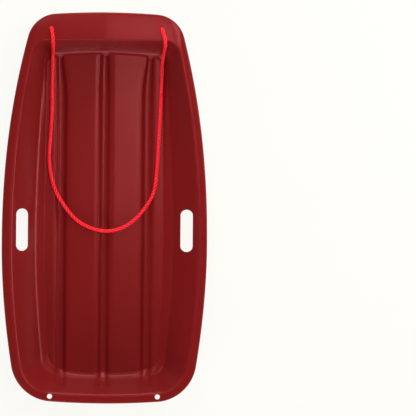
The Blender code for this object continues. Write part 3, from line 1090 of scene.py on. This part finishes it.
class Route:
    """Smooth line through chosen points, divided into even steps, with a frame at each."""

    points_per_stretch = 24
    upright_limit = 0.1

    def __init__(self, points: Sequence[Place], step: float) -> None:
        """Divide the line.

        Args:
            points: Places that the line passes through.
            step: Length of one step in metres.
        """
        fine = self.through([Vector(point) for point in points])
        lengths = np.linalg.norm(np.diff(fine, axis=0), axis=1)
        travel = np.concatenate(([0.0], np.cumsum(lengths)))
        self.length = float(travel[-1])
        count = max(2, round(self.length / step))
        self.travel = np.linspace(0.0, self.length, count + 1)
        self.places = np.stack([np.interp(self.travel, travel, fine[:, axis])
                                for axis in range(3)], axis=1)
        self.tangents = self.directions(self.places)
        self.normals = self.carried_normals()

    def through(self, route: List[Vector]) -> np.ndarray:
        """Points of a smooth curve through a route.

        Args:
            route: Places that the curve passes through.

        Returns:
            The curve's points.
        """
        route = [2.0 * route[0] - route[1]] + route + [2.0 * route[-1] - route[-2]]
        path = []
        for before, start, end, after in zip(route, route[1:], route[2:], route[3:]):
            for step in range(self.points_per_stretch):
                t = step / self.points_per_stretch
                path.append(0.5 * (2.0 * start + (end - before) * t
                                   + (2.0 * before - 5.0 * start + 4.0 * end - after) * t ** 2
                                   + (3.0 * start - before - 3.0 * end + after) * t ** 3))
        return np.array([list(point) for point in path + [route[-2]]])

    @staticmethod
    def directions(places: np.ndarray) -> np.ndarray:
        """Unit direction of a line at each of its points."""
        along = np.gradient(places, axis=0)
        return along / np.linalg.norm(along, axis=1, keepdims=True)

    def carried_normals(self) -> np.ndarray:
        """Side direction at each point, carried along the line without a twist.

        Returns:
            A unit direction for each point.
        """
        first = np.cross(self.tangents[0], (0.0, 0.0, 1.0))
        if np.linalg.norm(first) < self.upright_limit:
            first = np.cross(self.tangents[0], (1.0, 0.0, 0.0))
        normals = [first / np.linalg.norm(first)]
        for tangent in self.tangents[1:]:
            carried = normals[-1] - tangent * np.dot(normals[-1], tangent)
            normals.append(carried / np.linalg.norm(carried))
        return np.array(normals)

    def around(self, angles: np.ndarray, radius: float) -> np.ndarray:
        """Line that winds round this one.

        Args:
            angles: Angle at each point.
            radius: Distance from this line.

        Returns:
            The winding line's points.
        """
        others = np.cross(self.tangents, self.normals)
        turned = np.cos(angles)[:, None] * self.normals + np.sin(angles)[:, None] * others
        return self.places + radius * turned


@dataclass
class LaidRope:
    """Rope of three strands, laid right-handed."""

    diameter: float = 0.0080
    strands: int = 3
    strand_radius: float = 0.00218
    strand_offset: float = 0.00240
    lay_length: float = 0.0280
    step: float = 0.0014
    sides: int = 16
    weld_distance: float = 1e-6

    @property
    def outer_radius(self) -> float:
        """Radius of the circle that touches the strands from outside."""
        return self.strand_offset + self.strand_radius

    @property
    def girth(self) -> float:
        """Distance round one strand."""
        return math.tau * self.strand_radius

    def strand(self, mesh: Shape, route: Route, index: int) -> None:
        """Add one strand, as a grid that is rolled to a tube and closed at its seam.

        Args:
            mesh: The rope so far.
            route: The rope's own middle line.
            index: Which strand it is.
        """
        start = math.tau * index / self.strands
        angles = start + math.tau * route.travel / self.lay_length
        centres = route.around(angles, self.strand_offset)
        along = Route.directions(centres)
        outward = centres - route.places
        outward -= along * np.sum(outward * along, axis=1, keepdims=True)
        outward /= np.linalg.norm(outward, axis=1, keepdims=True)
        across = np.cross(along, outward)
        steps = len(centres) - 1
        made = bmesh.ops.create_grid(mesh, x_segments=self.sides, y_segments=steps, size=1.0,
                                     calc_uvs=True)
        layer = mesh.loops.layers.uv.verify()
        for face in {face for vertex in made["verts"] for face in vertex.link_faces}:
            for loop in face.loops:
                loop[layer].uv = (grid_share(loop.vert.co.x) * self.girth,
                                  grid_share(loop.vert.co.y) * route.length)
        for vertex in made["verts"]:
            row = round(grid_share(vertex.co.y) * steps)
            turn = math.pi * vertex.co.x
            place = (centres[row] + self.strand_radius * math.cos(turn) * outward[row]
                     + self.strand_radius * math.sin(turn) * across[row])
            vertex.co = Vector(place)

    def build(self, name: str, route: Route) -> Piece:
        """Lay the strands along a route.

        Args:
            name: Name of the piece.
            route: The rope's middle line.

        Returns:
            The finished piece.
        """
        mesh = bmesh.new()
        mesh.loops.layers.uv.new("UVMap")
        for index in range(self.strands):
            self.strand(mesh, route, index)
        bmesh.ops.remove_doubles(mesh, verts=mesh.verts, dist=self.weld_distance)
        rims = [edge for edge in mesh.edges if edge.is_boundary]
        bmesh.ops.holes_fill(mesh, edges=rims, sides=self.sides)
        bmesh.ops.recalc_face_normals(mesh, faces=mesh.faces)
        piece = new_object(name, mesh)
        piece.data.shade_smooth()
        return piece


@dataclass
class StopperKnot:
    """Knot under the nose lip: the rope winds once round itself and its end hangs below."""

    hole: Vector
    low: Vector
    high: Vector
    tail_low: float
    side: Side
    rope_radius: float
    coil_radius: float = 0.0066
    coil_turns: float = 1.9
    coil_ease: float = 0.22
    points_per_turn: int = 16
    tail_lean: Pair = (0.10, 0.05)
    tail_shares: Triple = (0.35, 0.7, 1.0)
    tip_radius: float = 0.0044
    tip_height: float = 0.0030
    tip_sides: int = 24
    tip_rings: int = 14

    def route_points(self) -> List[Place]:
        """Middle line of the knotted rope, from the hole down to its end.

        Returns:
            The route's points.
        """
        top = self.high.z - self.rope_radius
        bottom = self.low.z + self.rope_radius
        count = round(self.coil_turns * self.points_per_turn)
        points: List[Place] = [tuple(self.hole)]
        for step in range(count + 1):
            share = step / count
            spread = ease(share / self.coil_ease) * ease((1.0 - share) / self.coil_ease)
            angle = math.tau * self.coil_turns * share
            radius = self.coil_radius * spread
            points.append((self.hole.x + radius * math.cos(angle),
                           self.hole.y + radius * math.sin(angle),
                           mix(top, bottom, share)))
        lean = Vector((self.side.value * self.tail_lean[0], self.tail_lean[1], -1.0))
        drop = bottom - self.tail_low
        for share in self.tail_shares:
            points.append(tuple(Vector((self.hole.x, self.hole.y, bottom)) + lean * drop * share))
        return points

    def tip(self, route: Route) -> Piece:
        """Fused cap over the rope's end.

        Args:
            route: The knotted rope's middle line.

        Returns:
            The finished piece.
        """
        mesh = bmesh.new()
        bmesh.ops.create_uvsphere(mesh, u_segments=self.tip_sides, v_segments=self.tip_rings,
                                  radius=self.tip_radius)
        bmesh.ops.scale(mesh, vec=(1.0, 1.0, self.tip_height / self.tip_radius), verts=mesh.verts)
        turn = Vector((0.0, 0.0, 1.0)).rotation_difference(Vector(route.tangents[-1]))
        place = Matrix.Translation(Vector(route.places[-1])) @ turn.to_matrix().to_4x4()
        bmesh.ops.transform(mesh, matrix=place, verts=mesh.verts)
        piece = new_object(f"{self.side.name.lower()}_fused_tip", mesh)
        piece.data.shade_smooth()
        return piece


@dataclass
class TowRope:
    """The tow rope from one stopper knot to the other, with both knots and ends."""

    laid: LaidRope = field(default_factory=LaidRope)

    def build(self) -> Dict[str, Piece]:
        """Make the rope, its knots and its fused tips.

        Returns:
            The pieces by name.
        """
        self.route = Route(ROPE_ROUTE, self.laid.step)
        pieces = {"rope": self.laid.build("laid_tow_rope", self.route)}
        for side, place in ((Side.LEFT, ROPE_ROUTE[0]), (Side.RIGHT, ROPE_ROUTE[-1])):
            word = side.name.lower()
            low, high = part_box(f"{word}_stopper_knot")
            tail_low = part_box(f"{word}_rope_end")[0].z
            knot = StopperKnot(Vector(place), low, high, tail_low + StopperKnot.tip_height, side,
                               self.laid.outer_radius)
            route = Route(knot.route_points(), self.laid.step)
            pieces[f"{word}_knot"] = self.laid.build(f"{word}_tied_knot", route)
            pieces[f"{word}_tip"] = knot.tip(route)
        return pieces

    def dress(self, pieces: Dict[str, Piece], fibre: Material, fused: Material) -> None:
        """Give the rope its finish and its place in the frame.

        Args:
            pieces: The pieces by name.
            fibre: Material of the strands.
            fused: Material of the melted tips.
        """
        for name, piece in pieces.items():
            piece.data.materials.append(fused if name.endswith("tip") else fibre)
            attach(piece, BODY)
        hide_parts("tow_rope")
        for word in ("left", "right"):
            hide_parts(f"{word}_stopper_knot", f"{word}_rope_end")


class Hang(Enum):
    """How a lamp hangs: aimed at the toboggan, or level above it."""

    AIMED = "aimed"
    LEVEL = "level"


@dataclass(frozen=True)
class Softbox:
    """Soft rectangular studio lamp."""

    name: str
    place: Place
    size: Pair
    power: float
    hang: Hang = Hang.AIMED

    def build(self, target: Vector) -> None:
        """Hang the lamp.

        Args:
            target: What an aimed lamp points at.
        """
        data = bpy.data.lights.new(self.name, "AREA")
        data.shape = "RECTANGLE"
        data.size, data.size_y = self.size
        data.energy = self.power
        lamp = bpy.data.objects.new(self.name, data)
        lamp.location = self.place
        if self.hang is Hang.AIMED:
            lamp.rotation_euler = (target - lamp.location).to_track_quat("-Z", "Y").to_euler()
        lamp.visible_camera = False
        bpy.context.scene.collection.objects.link(lamp)


@dataclass
class Studio:
    """Pale floor, pale background, soft lamps and the camera over the toboggan."""

    backdrop: Colour = (0.991, 0.982, 0.939)
    floor_size: float = 60.0
    floor_drop: float = 0.0005
    floor_albedo: float = 0.06
    floor_glow: float = 0.927
    background_glow: float = 1.0
    frame_width: float = 0.9737
    distance: float = 10.0
    sensor_width: float = 36.0
    clip: Pair = (0.1, 100.0)
    view_tilt: float = 2.8
    view_roll: float = 0.45
    aim: Place = (0.2413, 0.0021, 0.0900)
    lamp_target: Place = (0.0, 0.0, 0.05)
    lamps: Tuple[Softbox, ...] = (
        Softbox("key_lamp", (1.45, 1.45, 2.15), (1.4, 1.4), 15.0),
        Softbox("nose_lamp", (0.0, 2.9, 0.80), (1.2, 0.8), 31.0),
        Softbox("high_nose_lamp", (0.0, 2.4, 1.6), (0.7, 1.0), 18.0),
        Softbox("tail_lamp", (0.0, -2.9, 0.85), (1.4, 0.9), 40.0),
        Softbox("tail_left_lamp", (-2.05, -2.05, 0.95), (1.6, 1.2), 40.0),
        Softbox("tail_right_lamp", (2.05, -2.05, 0.80), (0.8, 0.8), 11.0),
        Softbox("nose_left_lamp", (-2.0, 2.0, 1.0), (1.5, 1.2), 21.0),
        Softbox("right_lamp", (2.9, 0.0, 0.75), (0.8, 0.8), 17.0),
        Softbox("right_wall_lamp", (1.6, 0.3, 0.50), (0.8, 0.4), 6.0),
        Softbox("right_strip", (1.4, 0.8, 3.0), (0.4, 0.9), 26.0, Hang.LEVEL),
        Softbox("deck_strip", (0.5, 0.35, 3.0), (0.5, 0.7), 14.0, Hang.LEVEL),
        Softbox("lip_strip", (0.6, 1.1, 3.0), (0.7, 0.7), 1.0, Hang.LEVEL),
        Softbox("left_strip", (-0.55, 1.1, 3.0), (1.0, 0.6), 15.0, Hang.LEVEL),
    )

    def camera(self) -> None:
        """Hang the camera high over the toboggan, with a long lens."""
        tilt = math.radians(self.view_tilt)
        roll = math.radians(self.view_roll)
        back = Vector((-math.sin(tilt), 0.0, math.cos(tilt)))
        level = Vector((math.cos(tilt), 0.0, math.sin(tilt)))
        ahead = back.cross(level)
        right = level * math.cos(roll) + ahead * math.sin(roll)
        up = back.cross(right)
        data = bpy.data.cameras.new("plan_camera")
        data.sensor_width = self.sensor_width
        data.lens = self.sensor_width * self.distance / self.frame_width
        data.clip_start, data.clip_end = self.clip
        camera = bpy.data.objects.new("plan_camera", data)
        place = Vector(self.aim) + back * self.distance
        columns = Matrix((right, up, back)).transposed().to_4x4()
        camera.matrix_world = Matrix.Translation(place) @ columns
        bpy.context.scene.collection.objects.link(camera)
        bpy.context.scene.camera = camera

    def lay_floor(self) -> None:
        """Lay the pale floor, which keeps the toboggan's shadow."""
        mesh = bmesh.new()
        bmesh.ops.create_grid(mesh, x_segments=1, y_segments=1, size=self.floor_size / 2)
        bmesh.ops.translate(mesh, vec=(0.0, 0.0, -self.floor_drop), verts=mesh.verts)
        floor = new_object("studio_floor", mesh)
        finish = bpy.data.materials.new("studio_floor")
        finish.use_nodes = True
        tree = finish.node_tree
        tree.nodes.clear()
        matte = add_node(tree, "BsdfDiffuse", Color=(self.floor_albedo,) * 3 + (1.0,))
        glow = add_node(tree, "Emission", Color=(*self.backdrop, 1.0),
                        Strength=self.seen(tree, self.floor_glow))
        both = add_node(tree, "AddShader")
        tree.links.new(matte.outputs[0], both.inputs[0])
        tree.links.new(glow.outputs[0], both.inputs[1])
        add_node(tree, "OutputMaterial", Surface=both.outputs[0])
        floor.data.materials.append(finish)

    @staticmethod
    def seen(tree: Tree, glow: float) -> Socket:
        """Strength of a glow that is seen, mirrored and looked through, but lights nothing.

        Args:
            tree: Nodes to add to.
            glow: Strength for camera, glossy and transmission rays.

        Returns:
            The strength, which is 0 for all other rays.
        """
        rays = add_node(tree, "LightPath")
        total = rays.outputs["Is Camera Ray"]
        for name in ("Is Glossy Ray", "Is Transmission Ray"):
            total = joined(tree, total, rays.outputs[name], Joining.MAXIMUM)
        return add_node(tree, "MapRange", Value=total, To_Max=glow).outputs["Result"]

    def hang_background(self) -> None:
        """Show the pale background all round, which lights nothing by itself."""
        world = bpy.data.worlds.new("studio")
        world.use_nodes = True
        bpy.context.scene.world = world
        tree = world.node_tree
        fill(tree.nodes["Background"], Color=(*self.backdrop, 1.0),
             Strength=self.seen(tree, self.background_glow))

    def build(self) -> None:
        """Set the stage."""
        self.lay_floor()
        self.hang_background()
        for lamp in self.lamps:
            lamp.build(Vector(self.lamp_target))
        bpy.context.scene.view_settings.view_transform = "Standard"


def report(name: str, piece: Piece) -> None:
    """Log a finished piece.

    Args:
        name: What it is.
        piece: The piece.
    """
    size = " x ".join(f"{MILLIMETRES * length:.1f}" for length in piece.dimensions)
    LOG.info("%s: %s, %d faces, %s mm", name, piece.name, len(piece.data.polygons), size)


def main() -> None:
    """Build the toboggan and its studio."""
    logging.basicConfig(level=logging.INFO, format="%(message)s")
    studio = Studio()
    studio.camera()
    rope = TowRope()
    strands = rope.build()
    rope.dress(strands, LaidFibre(rope.laid.girth).build(), FusedTip().build())
    shell = SledShell(*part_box("sled_shell"))
    tub = shell.build()
    shell.dress(tub, GlossyMoulding().build())
    studio.build()
    bpy.context.view_layer.update()
    for name, piece in [("tub", tub), *strands.items()]:
        report(name, piece)


if __name__ == "__main__":
    main()
